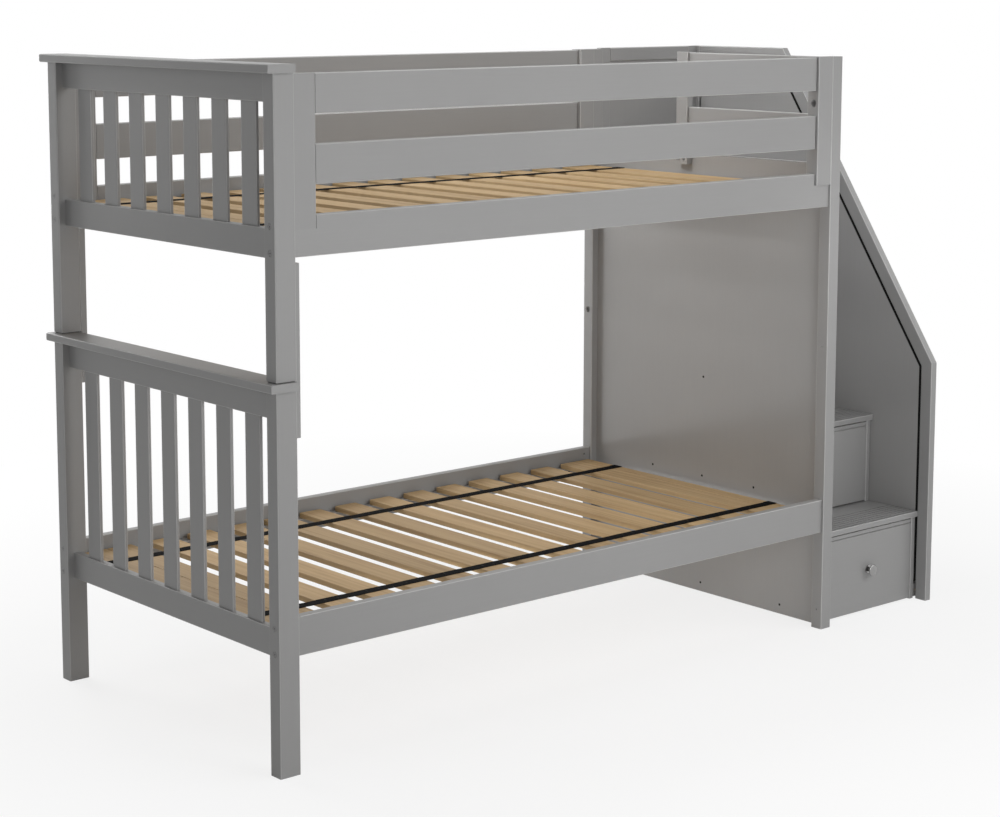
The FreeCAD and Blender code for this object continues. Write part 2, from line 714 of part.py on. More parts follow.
add("rear_wall_frame", *[drilled(drilled(member, [rear_slot]), dowel_holes) for member in rear_members])
add("rear_wall_panel", block(rear_panel_x, rear_panel_span, rear_panel_z))
add("stair_post_front", drilled(stair_post(pilot_hole_diameter), dowel_holes))
add("stair_post_rear", drilled(rear(stair_post(spare_hole_diameter)), dowel_holes))

# Steps: tread, face stiles, cleats, runners and drawer
left_cleat_x = (panel_back_x, opening_left_x)
right_cleat_x = (opening_right_x, wall_face_x)


def mirrored_x(shape):
    """The other-hand twin of a piece on the left of the steps."""
    middle = (opening_left_x + opening_right_x) / 2
    return shape.mirror(FreeCAD.Vector(middle, 0, 0), X)


def tread(nose_y, back_y, top_z):
    board = block((step_left_x, step_right_x), (nose_y, back_y), (top_z - tread_thickness, top_z))
    front_edges = [edge for edge in board.Edges if abs(edge.CenterOfMass.y - nose_y) < near_zero]
    nose = [edge for edge in front_edges if edge.tangentAt(0).cross(X).Length < near_zero]
    board = board.makeFillet(tread_nose_round, nose)
    grooves = []
    for index in range(tread_groove_count):
        start = nose_y + tread_groove_start + index * tread_groove_pitch
        grooves.append(block((step_left_x - cut_over, step_right_x + cut_over),
                             (start, start + tread_groove_width),
                             (top_z - tread_groove_depth, top_z + cut_over)))
    return drilled(board.cut(grooves).Solids[0], screw_holes)


def runner(side_x, tongue_end_x, start_y, floor_z):
    """A board on the side of the step with a milled tongue that carries the drawer."""
    low = floor_z + runner_board_lift
    span = (start_y, cleat_rear_y)
    body = block(side_x, span, (low, low + runner_board_height))
    tongue_x_span = sorted((tongue_end_x, sum(side_x) / 2))
    tongue = block(tongue_x_span, (start_y + drawer_running_gap, span[1]),
                   (floor_z + runner_lift, floor_z + runner_lift + runner_height))
    return body.fuse(tongue).removeSplitter()


def knob(middle):
    """A turned knob with a mushroom head on a short neck, and the screw that holds it."""
    base = knob_base_diameter / 2
    neck = knob_neck_diameter / 2
    head = knob_diameter / 2
    lip = head - knob_rim_inset
    reach = knob_projection
    under = reach - knob_head_height
    rim_low = under + knob_under_rise
    rim_high = rim_low + knob_rim_height
    profile = [(0, 0), (base, 0), (base, knob_base_height), (neck, knob_base_height + knob_flare_height),
               (neck, under), (lip, rim_low)]
    lines = [Part.LineSegment(FreeCAD.Vector(r, 0, h), FreeCAD.Vector(s, 0, k)).toShape()
             for (r, h), (s, k) in zip(profile, profile[1:])]
    rim = Part.Arc(FreeCAD.Vector(lip, 0, rim_low), FreeCAD.Vector(head, 0, (rim_low + rim_high) / 2),
                   FreeCAD.Vector(lip, 0, rim_high)).toShape()
    dome_rise = reach - rim_high
    dome_radius = (lip ** 2 + dome_rise ** 2) / (2 * dome_rise)
    half_turn = math.asin(lip / dome_radius) / 2
    dome_drop = dome_radius * (1 - math.cos(half_turn))
    dome_middle = FreeCAD.Vector(dome_radius * math.sin(half_turn), 0, reach - dome_drop)
    crown = Part.Arc(FreeCAD.Vector(lip, 0, rim_high), dome_middle, FreeCAD.Vector(0, 0, reach)).toShape()
    axis = Part.LineSegment(FreeCAD.Vector(0, 0, reach), FreeCAD.Vector(0, 0, 0)).toShape()
    face = Part.Face(Part.Wire(lines + [rim, crown, axis]))
    turned = face.revolve(FreeCAD.Vector(0, 0, 0), Z, 360)
    turned.rotate(FreeCAD.Vector(0, 0, 0), X, 90)
    turned.translate(middle)
    shank_length = drawer_front_thickness + knob_screw_bite
    screw_start = middle + Y * drawer_front_thickness
    shank = rod(screw_start, -Y, shank_length, knob_screw_diameter)
    screw_head = rod(screw_start, Y, knob_screw_head_thickness, knob_screw_head_diameter)
    hole = rod(screw_start, -Y, shank_length + bolt_gap, knob_screw_diameter + 2 * fit_gap)
    return turned.cut(hole), shank.fuse(screw_head).removeSplitter(), hole


def drawer(number, nose_y, floor_z):
    """Front, box and knob of one drawer, shut."""
    name = "drawer_%d" % number
    front_y = (nose_y + nose_overhang, nose_y + nose_overhang + drawer_front_thickness)
    front_x = (opening_left_x + drawer_side_reveal, opening_right_x - drawer_side_reveal)
    front_z = (floor_z + drawer_front_gap, floor_z + step_rise - tread_thickness - drawer_front_gap)
    front = beam(front_x, front_y, front_z, Z)
    line_z = front_z[1] - drawer_line_drop
    line = block((front_x[0] - cut_over, front_x[1] + cut_over),
                 (front_y[0] - cut_over, front_y[0] + drawer_line_depth),
                 (line_z - drawer_line_width, line_z))
    middle = FreeCAD.Vector(sum(front_x) / 2, front_y[0], sum(front_z) / 2)
    turned, screw, hole = knob(middle)
    add(name + "_knob", turned, screw)

    side_x = (opening_left_x + drawer_running_gap, opening_left_x + drawer_running_gap + drawer_board)
    far_x = (opening_right_x - drawer_running_gap - drawer_board, opening_right_x - drawer_running_gap)
    box_y = (front_y[1] - drawer_housing, front_y[1] + drawer_depth)
    box_z = (floor_z + drawer_box_lift, floor_z + drawer_box_lift + drawer_box_height)
    groove_z = (floor_z + runner_lift - runner_play, floor_z + runner_lift + runner_height + runner_play)
    runner_groove = block((side_x[0] - cut_over, side_x[0] + runner_bite + runner_play),
                          (front_y[1], box_y[1] + cut_over), groove_z)
    bottom_low = box_z[0] + drawer_bottom_lift
    bottom_z = (bottom_low, bottom_low + drawer_bottom_thickness)
    bottom_x = (side_x[1] - drawer_bottom_groove, far_x[0] + drawer_bottom_groove)
    bottom = block(bottom_x, box_y, bottom_z)
    back_x = (side_x[1] - drawer_back_housing, far_x[0] + drawer_back_housing)
    back_y = (box_y[1] - 2 * drawer_board, box_y[1] - drawer_board)
    back = beam(back_x, back_y, (bottom_z[1], box_z[1]), X)
    bottom_slot = loosened(bottom_x, box_y, bottom_z)
    back_slot = loosened(back_x, back_y, (bottom_z[1], box_z[1] + cut_over))
    side = beam(side_x, box_y, box_z, Y).cut([runner_groove, bottom_slot, back_slot]).Solids[0]
    front_housings = [loosened(side_x, box_y, box_z), loosened(far_x, box_y, box_z), bottom_slot]
    add(name + "_front", front.cut([line, hole] + front_housings).Solids[0])
    add(name + "_box", side, mirrored_x(side), back, bottom)


for step in range(step_count):
    nose_y = first_nose_y + step * step_run
    floor_z = step * step_rise
    top_z = floor_z + step_rise
    stile_y = (nose_y + nose_overhang, nose_y + nose_overhang + step_stile_depth)
    last = step == step_count - 1
    back_y = rear_frame_y - tread_side_gap if last else stile_y[1] + step_run
    cleat_y = (stile_y[1], min(back_y, cleat_rear_y))
    under_z = top_z - tread_thickness
    for cleat_x in (left_cleat_x, right_cleat_x):
        for screw_y in (cleat_y[0] + tread_screw_inset, cleat_y[1] - tread_screw_inset):
            head = FreeCAD.Vector(sum(cleat_x) / 2, screw_y, under_z - cleat_height)
            wood_screw(head, Z, cleat_height, tread_screw_bite)
    add("stair_treads", tread(nose_y, back_y, top_z))
    left_stile = beam((step_left_x, opening_left_x), stile_y, (floor_z, under_z), Z)
    add("step_stiles", left_stile, mirrored_x(left_stile))
    cleat_z = (under_z - cleat_height, under_z)
    for cleat_x in (left_cleat_x, right_cleat_x):
        add("stair_cleats", drilled(block(cleat_x, cleat_y, cleat_z), screw_holes))
    left_tongue = opening_left_x + drawer_running_gap + runner_bite
    right_tongue = opening_right_x - drawer_running_gap - runner_bite
    add("drawer_runners", drilled(runner(left_cleat_x, left_tongue, stile_y[1], floor_z), screw_holes))
    add("drawer_runners", runner(right_cleat_x, right_tongue, stile_y[1], floor_z))
    drawer(step + 1, nose_y, floor_z)

# Battens along the foot and the top of the panel
foot_batten_y = (first_nose_y + nose_overhang + step_stile_depth, cleat_rear_y)
foot_batten = block(left_cleat_x, foot_batten_y, (foot_batten_z, foot_batten_z + batten_height))
top_batten = block(left_cleat_x, (stair_post_depth, bed_width - stair_post_depth),
                   (panel_top_z - batten_height, panel_top_z))
add("stair_cleats", drilled(foot_batten, screw_holes), drilled(top_batten, screw_holes))

# One file per node
os.makedirs("parts", exist_ok=True)
for name, shapes in nodes.items():
    moved = [shape.translated(to_origin) for shape in shapes]
    whole = moved[0] if len(moved) == 1 else Part.makeCompound(moved)
    whole.exportStep(os.path.join("parts", name + ".step"))
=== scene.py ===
import json
import math
import random

import bmesh
import bpy
from mathutils import Matrix, Vector


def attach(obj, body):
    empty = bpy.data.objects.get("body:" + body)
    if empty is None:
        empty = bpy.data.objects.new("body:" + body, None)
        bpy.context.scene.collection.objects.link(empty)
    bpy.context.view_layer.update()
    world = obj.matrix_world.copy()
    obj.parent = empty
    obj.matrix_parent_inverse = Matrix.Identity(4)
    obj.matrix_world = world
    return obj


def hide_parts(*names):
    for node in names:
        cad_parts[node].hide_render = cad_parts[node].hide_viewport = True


# Looks and small fittings of a twin bunk bed with a drawer staircase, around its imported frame, in metres

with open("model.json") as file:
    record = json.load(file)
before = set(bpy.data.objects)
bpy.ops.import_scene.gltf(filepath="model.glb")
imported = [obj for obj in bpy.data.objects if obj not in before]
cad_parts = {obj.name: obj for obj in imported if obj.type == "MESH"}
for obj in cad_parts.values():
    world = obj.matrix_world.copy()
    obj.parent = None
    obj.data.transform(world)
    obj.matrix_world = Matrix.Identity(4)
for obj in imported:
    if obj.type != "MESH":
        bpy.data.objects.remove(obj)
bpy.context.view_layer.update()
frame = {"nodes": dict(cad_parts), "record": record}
nodes = frame["nodes"]
seed = 11
chance = random.Random(seed)

# Colours, as linear red, green and blue
paint_grey = (0.318, 0.316, 0.314)
# Paler, warmer copy of paint_grey for the sheets: painted light, standing in for the brighter light on the
# panels
lit_sheet_grey = (0.356, 0.352, 0.348)
coat_grey = (0.285, 0.284, 0.282)
pine_pale = (0.580, 0.412, 0.222)
pine_mid = (0.502, 0.344, 0.174)
pine_dark = (0.362, 0.230, 0.106)
bare_pale = (0.690, 0.545, 0.365)
bare_mid = (0.620, 0.470, 0.290)
bare_dark = (0.490, 0.345, 0.190)
webbing_black = (0.004, 0.004, 0.0042)
phosphate = (0.009, 0.009, 0.0094)
zinc = (0.560, 0.555, 0.540)
nickel = (0.310, 0.308, 0.304)
floor_white = (0.860, 0.860, 0.860)
# Near-black painted shade for the edges of a panel in its shadow gap
painted_gap_shade = (0.012, 0.012, 0.012)
black = (0.0, 0.0, 0.0)
white = (1.0, 1.0, 1.0)

# Measuring: vertices within one spot are at one place, and a normal this far along an axis is square to it
spots_per_metre = 1e5
hair = 1e-5
square_on = 0.99

# Rounded edges: normals that turn away from all large flat faces, and how much paler they are coloured as a
# painted highlight, less on the caps
flat_share = 0.04
normal_digits = 2
rim_turn = 0.29
rim_start = 0.05
rim_full = 0.55
painted_edge_highlight = 1.60
cap_highlight_share = 0.45

# Faces in the grooves of the treads and in the seams under the upper posts, and how much painted shade
# darkens them
groove_depth = 0.002
groove_shade = 0.40
seam_height = 0.0025
seam_shade = 0.85

# Grain: each board is cut from another place of the texture, up to this far away in metres
grain_reach = 4

# Painted wood: texture scales along and across the grain, shares in the colour, roughness and bump
paint_fibre_scale = (7, 210, 210)
paint_fibre_jitter = 0.6
paint_cloud_scale = 2.6
paint_peel_scale = 700.0
paint_fibre_share = 0.3
paint_cloud_share = 0.5
paint_tone_share = 0.2
paint_contrast = 0.05
paint_roughness_play = 0.04
paint_peel_height = 0.35
paint_bump = 0.0004
edge_facing = 0.5

# Planed wood: texture scales along and across the grain, shares in the figure, knots, roughness and bump
ring_length = 1.4
ring_jitter = 0.55
wood_fibre_scale = (8, 420, 420)
wood_fibre_jitter = 0.6
wood_cloud_scale = (2.4, 14, 14)
wood_fibre_share = 0.25
wood_ring_share = 0.45
wood_cloud_share = 0.30
knot_scale = (2.2, 13, 13)
knot_heart = 0.03
knot_rim = 0.10
knot_strength = 0.75
knot_dark = 0.45
board_dim = 0.84
board_bright = 1.10
# Share of the painted highlight along the rounded edges of bare boards
wood_edge_highlight = 0.35
wood_roughness = (0.46, 0.66)
wood_ring_height = 0.35
wood_grain_height = 0.16
wood_bump = 0.0005

# Webbing: texture scales of the ribs along it, the picks across it and the fuzz of its yarn
rib_scale = 190.0
pick_scale = 240.0
fuzz_scale = 900.0
webbing_roughness = (0.72, 0.92)
weave_height = 0.5
webbing_bump = 0.0004

# Metals: how far drawn streaks stretch, the grain of the coatings, their roughness and bump
streak_stretch = (1, 1, 0.15)
streak_height = 0.05
streak_bump = 0.0001
speckle_scale = 2600.0
speckle_roughness = (0.42, 0.62)
speckle_height = 0.15
speckle_bump = 0.0001
pebble_scale = 1400.0
pebble_roughness = (0.36, 0.50)
pebble_height = 0.2
pebble_bump = 0.0002

# Straps: one within deck_reach of a deck's top lies on it; edge and weave are shares of its thickness
strap_sag = 0.0005
strap_lift = 0.0001
strap_step = 0.008
selvedge = 0.0025
selvedge_edge = 0.5
weave_thickness = 0.92
hem_length = 0.024
deck_reach = 0.024

# Staples: the shoulder and rise of the crown are shares of half the wire
staple_crown = 0.011
staple_wire = 0.0011
staple_leg = 0.008
staple_shoulder = 0.6
staple_rise = 1.2
staple_spread = 0.040

# Screws: the tip is this many shank radii long and ends in this part of the radius
screw_sides = 20
recess_arm = 0.0024
recess_half = 0.0007
recess_depth = 0.0016
recess_taper = 0.7
screw_tip = 3
screw_point = 6

# Camera, fitted to the photograph
camera_eye = (-4.334, -4.911, 1.963)
camera_heading = 40.10
camera_tilt = 7.75
camera_lens = 79.72
camera_shift = (0.03, -0.12)
camera_sensor = 36.0

# Floor: it turns from a shadowed ground near the bed into plain white
floor_size = 60
floor_drop = 0.0004
floor_glow = 0.78
shadow_near = 1.0
shadow_far = 3.2

# Light: each lamp's name, place, aim, size, power in watts and cone in degrees
world_light = 0.12
wide = 180.0
bed_middle = (0.0, 0.0, 0.9)
lamps = (
    ("key", (2.4, -5.6, 4.6), bed_middle, 4.0, 90.0, wide),
    ("side", (5.5, -5.0, 4.5), bed_middle, 3.0, 96.0, wide),
    ("front", (-0.2, -2.9, 1.3), bed_middle, 1.4, 20.0, wide),
    ("left", (-4.8, -5.4, 2.6), bed_middle, 2.0, 35.0, wide),
    ("rear", (-0.9, 3.8, 1.9), bed_middle, 2.5, 95.0, wide),
    ("top", (0.0, 0.5, 6.5), bed_middle, 4.5, 80.0, wide),
    ("upper", (-1.7, -0.35, 3.1), (0.45, 0.25, 1.5), 1.0, 1.7, 60.0),
    ("deck", (-0.5, 0.0, 4.2), (-0.2, 0.05, 1.4), 1.2, 1.4, 50.0),
    ("landing", (-0.9, 0.5, 3.2), (1.2, 0.15, 1.45), 0.7, 2.0, 45.0),
    ("stair", (0.3, -1.6, 1.3), (1.24, -0.2, 1.1), 0.5, 0.32, 44.0),
    ("under", (-0.9, -0.3, 0.2), (0.8, -0.2, 0.2), 0.25, 0.24, 48.0),
)


# Boards and other separate solids inside the nodes
def solids(name):
    """Vertex numbers of each separate solid of a node, with vertices at one place taken as one."""
    mesh = nodes[name].data
    place_of = {}
    spots = []
    for vertex in mesh.vertices:
        key = tuple(round(value * spots_per_metre) for value in vertex.co)
        spots.append(place_of.setdefault(key, len(place_of)))
    leader = list(range(len(place_of)))

    def lead(spot):
        while leader[spot] != spot:
            leader[spot] = leader[leader[spot]]
            spot = leader[spot]
        return spot

    for edge in mesh.edges:
        first, second = (lead(spots[number]) for number in edge.vertices)
        leader[second] = first
    groups = {}
    for number, spot in enumerate(spots):
        groups.setdefault(lead(spot), []).append(number)
    return list(groups.values())


def box_of(points):
    """The lowest and highest corner of some points."""
    low = Vector([min(point[axis] for point in points) for axis in range(3)])
    high = Vector([max(point[axis] for point in points) for axis in range(3)])
    return low, high


def solid_boxes(name):
    """The lowest and highest corner of each solid of a node, in order along the bed."""
    vertices = nodes[name].data.vertices
    boxes = [box_of([vertices[number].co for number in group]) for group in solids(name)]
    return sorted(boxes, key=lambda box: tuple(box[0]))


def flat_directions(mesh):
    """The frame's axes and the normals of a node's other large flat faces."""
    shares = {}
    for face in mesh.polygons:
        both_ways = (face.normal, -face.normal)
        key = max(tuple(round(value, normal_digits) + 0.0 for value in way) for way in both_ways)
        shares[key] = shares.get(key, 0.0) + face.area
    least = flat_share * sum(shares.values())
    slanted = [Vector(key).normalized() for key, area in shares.items() if area > least]
    return list(Matrix.Identity(3)) + slanted


def rim_of(mesh):
    """For each vertex 0 on flat faces and up to 1 in the middle of a rounded edge."""
    flats = flat_directions(mesh)
    rims = []
    for normal in mesh.vertex_normals:
        turned = max(abs(normal.vector.dot(flat)) for flat in flats)
        rims.append(min(max((1.0 - turned) / rim_turn, 0.0), 1.0))
    return rims


def heights_of(mesh, face):
    return [mesh.vertices[number].co.z for number in face.vertices]


def in_groove(mesh, face, board):
    """Whether a face is a wall or the floor of a groove in a board's top."""
    heights = heights_of(mesh, face)
    top = board[1].z
    wall = abs(face.normal.y) > square_on
    sunk = face.normal.z > square_on and max(heights) < top - groove_depth / 2
    return min(heights) > top - groove_depth - hair and (wall or sunk)


def in_seam(mesh, face, board):
    """Whether a face lies in the narrow seam round a post's foot."""
    foot = board[0].z
    return max(heights_of(mesh, face)) < foot + seam_height + hair


def put_on_vertices(mesh, name, kind, field, values):
    """Stores one value of a kind for each vertex, for the materials to read."""
    mesh.attributes.new(name, kind, "POINT").data.foreach_set(field, values)


def mark_shade(name, inside, share):
    """Marks the faces of a node that lie inside a groove or seam with the share of painted shade that
    darkens them.
    """
    mesh = nodes[name].data
    shade = [0.0] * len(mesh.vertices)
    board_of = {}
    for group in solids(name):
        board = box_of([mesh.vertices[number].co for number in group])
        for number in group:
            board_of[number] = board
    for face in mesh.polygons:
        if inside(mesh, face, board_of[face.vertices[0]]):
            for number in face.vertices:
                shade[number] = share
    put_on_vertices(mesh, "shade", "FLOAT", "value", shade)


def mark_boards(name):
    """Gives each board of a node its own tone, its rims and grain coordinates, the first one along it."""
    mesh = nodes[name].data
    # The painted highlight along rounded edges is weaker on the caps
    highlight_share = cap_highlight_share if "cap" in name else 1.0
    rims = [rim * highlight_share for rim in rim_of(mesh)]
    grain = [Vector()] * len(mesh.vertices)
    tone = [0.0] * len(mesh.vertices)
    for group in solids(name):
        low, high = box_of([mesh.vertices[number].co for number in group])
        middle = (low + high) / 2
        order = sorted(range(3), key=lambda axis: low[axis] - high[axis])
        shift = Vector([chance.uniform(-grain_reach, grain_reach) for axis in range(3)])
        board_tone = chance.random()
        for number in group:
            offset = mesh.vertices[number].co - middle
            grain[number] = Vector([offset[axis] for axis in order]) + shift
            tone[number] = board_tone
    flat_grain = [value for vector in grain for value in vector]
    put_on_vertices(mesh, "grain", "FLOAT_VECTOR", "vector", flat_grain)
    put_on_vertices(mesh, "tone", "FLOAT", "value", tone)
    put_on_vertices(mesh, "rim", "FLOAT", "value", rims)


# Materials
def opaque(colour):
    return (*colour, 1.0)


def shaded(colour, factor):
    return tuple(value * factor for value in colour)


class Shader:
    """A material's node tree, with short ways to add and join nodes."""

    def __init__(self, name, **constants):
        self.material = bpy.data.materials.new(name)
        self.material.use_nodes = True
        self.tree = self.material.node_tree
        self.surface = self.tree.nodes["Principled BSDF"]
        for socket, value in constants.items():
            self.surface.inputs[socket.replace("_", " ")].default_value = value

    def feed(self, socket, value):
        """Links a socket to another one, or sets its value."""
        if isinstance(value, bpy.types.NodeSocket):
            self.tree.links.new(value, socket)
        else:
            socket.default_value = value

    def node(self, kind, inputs=None, **settings):
        made = self.tree.nodes.new("ShaderNode" + kind)
        for key, value in settings.items():
            setattr(made, key, value)
        for key, value in (inputs or {}).items():
            self.feed(made.inputs[key], value)
        return made

    def attribute(self, name, output):
        return self.node("Attribute", attribute_name=name).outputs[output]

    def stretched(self, vector, scale):
        return self.node("Mapping", {"Vector": vector, "Scale": scale}).outputs["Vector"]

    def noise(self, vector, scale, detail=2.0, roughness=0.5):
        inputs = {"Vector": vector, "Scale": scale, "Detail": detail, "Roughness": roughness}
        return self.node("TexNoise", inputs).outputs["Fac"]

    def waves(self, vector, scale, direction):
        inputs = {"Vector": vector, "Scale": scale}
        return self.node("TexWave", inputs, bands_direction=direction).outputs["Fac"]

    def math(self, operation, *values):
        return self.node("Math", dict(enumerate(values)), operation=operation).outputs["Value"]

    def spread(self, value, low, high, start=0.0, end=1.0):
        """The value moved from start..end to low..high."""
        inputs = {"Value": value, "From Min": start, "From Max": end, "To Min": low, "To Max": high}
        return self.node("MapRange", inputs).outputs["Result"]

    def ramp(self, value, stops):
        """The colours of some stops, picked by a value."""
        made = self.node("ValToRGB", {"Fac": value})
        band = made.color_ramp
        while len(band.elements) < len(stops):
            band.elements.new(1.0)
        for element, (place, colour) in zip(band.elements, stops):
            element.position = place
            element.color = opaque(colour)
        return made.outputs["Color"]

    def mixed(self, factor, first, second):
        """The first colour, moved towards the second by a factor."""
        made = self.node("Mix", data_type="RGBA")
        sockets = [socket for socket in made.inputs if socket.type == "RGBA"]
        self.feed(made.inputs["Factor"], factor)
        self.feed(sockets[0], first)
        self.feed(sockets[1], second)
        return [socket for socket in made.outputs if socket.type == "RGBA"][0]

    def edges(self, most):
        """Up to most along rounded edges and 0 on flat faces."""
        return self.spread(self.attribute("rim", "Fac"), 0.0, most, rim_start, rim_full)

    def finish(self, colour, roughness, height, strength, distance):
        """Joins the colour, roughness and bump to the surface and hands over the material."""
        self.feed(self.surface.inputs["Base Color"], colour)
        self.feed(self.surface.inputs["Roughness"], roughness)
        inputs = {"Height": height, "Strength": strength, "Distance": distance}
        self.feed(self.surface.inputs["Normal"], self.node("Bump", inputs).outputs["Normal"])
        return self.material


def painted_wood(name, base, specular, dullness, grain_height, shade_gap_axis=None):
    """Satin paint over close-grained wood: faint grain, spray texture, painted highlights along rounded
    edges and painted shade in grooves and seams.

    Faces that turn away from the given gap axis are the edges of a panel in its shadow gap, coloured
    near-black as painted shade.
    """
    shader = Shader(name, Specular_IOR_Level=specular)
    grain = shader.attribute("grain", "Vector")
    fibre = shader.noise(shader.stretched(grain, paint_fibre_scale), 1.0, 4.0, paint_fibre_jitter)
    cloud = shader.noise(grain, paint_cloud_scale, 3.0)
    peel = shader.noise(grain, paint_peel_scale, 1.0)
    tone = shader.attribute("tone", "Fac")
    blend = shader.math("MULTIPLY", cloud, paint_cloud_share)
    blend = shader.math("MULTIPLY_ADD", fibre, paint_fibre_share, blend)
    blend = shader.math("MULTIPLY_ADD", tone, paint_tone_share, blend)
    dark = shaded(base, 1.0 - paint_contrast)
    pale = shaded(base, 1.0 + paint_contrast)
    flat = shader.ramp(blend, ((0.2, dark), (0.8, pale)))
    # Painted highlight: rounded edges are coloured paler, standing in for the light they catch
    colour = shader.mixed(shader.edges(1.0), flat, opaque(shaded(base, painted_edge_highlight)))
    # Painted shade in the grooves of the treads and in the seams under the upper posts
    colour = shader.mixed(shader.attribute("shade", "Fac"), colour, opaque(black))
    # Painted shade: the panel's edges in its shadow gap are coloured near-black, standing in for the shadow
    # there
    if shade_gap_axis:
        normal = shader.node("NewGeometry").outputs["True Normal"]
        facing = shader.node("SeparateXYZ", {"Vector": normal}).outputs[shade_gap_axis]
        away = shader.math("LESS_THAN", shader.math("ABSOLUTE", facing), edge_facing)
        colour = shader.mixed(away, colour, opaque(painted_gap_shade))
    roughness = shader.spread(cloud, dullness - paint_roughness_play, dullness + paint_roughness_play)
    height = shader.math("MULTIPLY_ADD", peel, paint_peel_height, fibre)
    return shader.finish(colour, roughness, height, grain_height, paint_bump)


def planed_wood(name, pale, middle, dark, ring_scale, knot_share):
    """Bare wood with drifting growth lines, fine fibres and a knot here and there."""
    shader = Shader(name, Specular_IOR_Level=0.35)
    grain = shader.attribute("grain", "Vector")
    tone = shader.attribute("tone", "Fac")
    ring_grain = shader.stretched(grain, (ring_length, ring_scale, ring_scale))
    rings = shader.noise(ring_grain, 1.0, 3.0, ring_jitter)
    fibre = shader.noise(shader.stretched(grain, wood_fibre_scale), 1.0, 3.0, wood_fibre_jitter)
    cloud = shader.noise(shader.stretched(grain, wood_cloud_scale), 1.0, 2.0)
    figure = shader.math("MULTIPLY", rings, wood_ring_share)
    figure = shader.math("MULTIPLY_ADD", fibre, wood_fibre_share, figure)
    figure = shader.math("MULTIPLY_ADD", cloud, wood_cloud_share, figure)
    wood = shader.ramp(figure, ((0.34, dark), (0.48, middle), (0.64, pale)))
    knot_grain = shader.stretched(grain, knot_scale)
    cells = shader.node("TexVoronoi", {"Vector": knot_grain, "Scale": 1.0}).outputs
    draw = shader.node("SeparateColor", {"Color": cells["Color"]}).outputs["Red"]
    chosen = shader.math("LESS_THAN", draw, knot_share)
    heart = shader.spread(cells["Distance"], 1.0, 0.0, knot_heart, knot_rim)
    knot = shader.math("MULTIPLY", shader.math("MULTIPLY", chosen, heart), knot_strength)
    wood = shader.mixed(knot, wood, opaque(shaded(dark, knot_dark)))
    light = shader.spread(tone, board_dim, board_bright)
    lit = shader.node("HueSaturation", {"Color": wood, "Value": light}).outputs["Color"]
    # Painted highlight: rounded edges are coloured towards the pale wood, standing in for the light they
    # catch
    colour = shader.mixed(shader.edges(wood_edge_highlight), lit, opaque(pale))
    roughness = shader.spread(fibre, *wood_roughness)
    height = shader.math("MULTIPLY_ADD", rings, wood_ring_height, fibre)
    return shader.finish(colour, roughness, height, wood_grain_height, wood_bump)


def webbing():
    """Black woven strap: ribs along and picks across, dull with a little sheen."""
    shader = Shader("black_webbing", Specular_IOR_Level=0.04)
    place = shader.node("TexCoord").outputs["Object"]
    ribs = shader.waves(place, rib_scale, "Y")
    picks = shader.waves(place, pick_scale, "X")
    weave = shader.math("MULTIPLY", ribs, picks)
    fuzz = shader.noise(place, fuzz_scale, 2.0)
    blend = shader.math("MULTIPLY_ADD", fuzz, 0.5, shader.math("MULTIPLY", weave, 0.5))
    colour = shader.ramp(blend, ((0.1, shaded(webbing_black, 0.6)), (0.9, shaded(webbing_black, 1.9))))
    roughness = shader.spread(fuzz, *webbing_roughness)
    return shader.finish(colour, roughness, weave, weave_height, webbing_bump)


def metal(name, colour, low, high, scale):
    """Metal with faint drawn streaks in its colour and gloss, whose roughness runs from low to high."""
    shader = Shader(name, Metallic=1.0)
    place = shader.node("TexCoord").outputs["Object"]
    streak = shader.noise(shader.stretched(place, streak_stretch), scale, 3.0)
    tint = shader.ramp(streak, ((0.2, shaded(colour, 0.88)), (0.8, shaded(colour, 1.06))))
    return shader.finish(tint, shader.spread(streak, low, high), streak, streak_height, streak_bump)


def phosphated_steel():
    """The dull grey-black skin of a phosphated screw."""
    shader = Shader("black_steel", Specular_IOR_Level=0.2)
    place = shader.node("TexCoord").outputs["Object"]
    speckle = shader.noise(place, speckle_scale, 2.0)
    colour = shader.ramp(speckle, ((0.25, shaded(phosphate, 0.7)), (0.75, shaded(phosphate, 1.4))))
    roughness = shader.spread(speckle, *speckle_roughness)
    return shader.finish(colour, roughness, speckle, speckle_height, speckle_bump)


def coated_steel():
    """Powder coat, with its fine pebbled skin."""
    shader = Shader("coated_steel", Specular_IOR_Level=0.45)
    place = shader.node("TexCoord").outputs["Object"]
    pebble = shader.noise(place, pebble_scale, 2.0)
    colour = shader.ramp(pebble, ((0.2, shaded(coat_grey, 0.92)), (0.8, shaded(coat_grey, 1.08))))
    roughness = shader.spread(pebble, *pebble_roughness)
    return shader.finish(colour, roughness, pebble, pebble_height, pebble_bump)


board_coat = {"specular": 0.42, "dullness": 0.42, "grain_height": 0.10}
sheet_coat = {"specular": 0.60, "dullness": 0.19, "grain_height": 0.05}
materials = {
    "painted_wood": painted_wood("painted_wood", paint_grey, **board_coat),
    "pine_slat": planed_wood("pine_slat", pine_pale, pine_mid, pine_dark, ring_scale=90.0, knot_share=0.10),
    "bare_wood": planed_wood("bare_wood", bare_pale, bare_mid, bare_dark, ring_scale=70.0, knot_share=0.06),
    "black_webbing": webbing(),
    "black_steel": phosphated_steel(),
    "zinc_steel": metal("zinc_steel", zinc, low=0.32, high=0.46, scale=900.0),
    "nickel": metal("nickel", nickel, low=0.10, high=0.20, scale=500.0),
    "coated_steel": coated_steel(),
}
